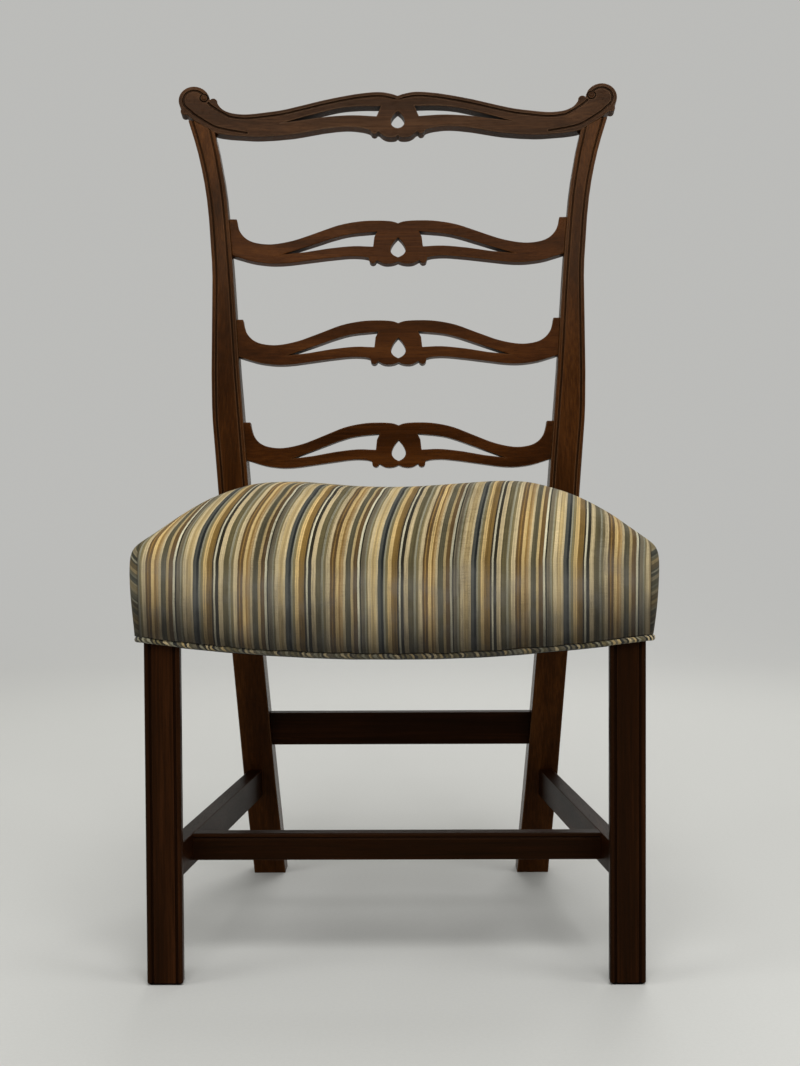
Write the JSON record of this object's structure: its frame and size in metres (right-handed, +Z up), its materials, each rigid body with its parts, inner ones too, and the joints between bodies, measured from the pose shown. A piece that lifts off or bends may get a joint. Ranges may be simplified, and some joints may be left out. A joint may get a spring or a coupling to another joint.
{
  "type": "ladderback dining chair",
  "caption": "Upright wooden dining chair with a serpentine crest rail, scrolled ears, pierced ladder slats, a crowned saddle seat in striped cloth and square moulded front legs.",
  "frame": {"origin": "on the floor, under the middle of the chair's width and depth", "axes": "+Z up, +X to the right as seen from the front, the chair faces -Y"},
  "size_m": [0.566, 0.5325, 1.0167],
  "materials": {
    "frame_wood": "dark reddish-brown mahogany, satin polish",
    "slat_wood": "mahogany, satin polish, a little warmer and lighter than the frame",
    "rail_wood": "plain sawn beech under the cover",
    "screw_steel": "dull steel screws and blued tacks",
    "jute_webbing": "woven jute",
    "hessian": "coarse hessian",
    "foam": "cut seat foam",
    "cotton_wadding": "soft cotton wadding",
    "striped_cover": "matt chenille cloth, woven in gold, cream, slate, brown and navy stripes",
    "welt_cord": "the cover cloth wrapped round a cord",
    "black_cambric": "black cambric"
  },
  "bodies": {
    "root": {"crest_rail": "frame_wood", "back_post_left": "frame_wood", "back_post_right": "frame_wood", "top_slat": "slat_wood", "middle_slat": "slat_wood", "bottom_slat": "slat_wood", "front_leg_left": "frame_wood", "front_leg_right": "frame_wood", "front_seat_rail": "rail_wood", "rear_seat_rail": "rail_wood", "side_seat_rail_left": "rail_wood", "side_seat_rail_right": "rail_wood", "corner_block_front_left": "rail_wood", "corner_block_front_right": "rail_wood", "corner_block_rear_left": "rail_wood", "corner_block_rear_right": "rail_wood", "corner_block_screws": "screw_steel", "side_stretcher_left": "frame_wood", "side_stretcher_right": "frame_wood", "cross_stretcher": "frame_wood", "rear_stretcher": "frame_wood", "webbing_front_to_back": "jute_webbing", "webbing_side_to_side": "jute_webbing", "webbing_tacks": "screw_steel", "deck_cloth": "hessian", "seat_foam": "foam", "seat_wadding": "cotton_wadding", "seat_cover": "striped_cover", "seat_welt": "welt_cord", "dust_cover": "black_cambric"}
  },
  "joints": []
}
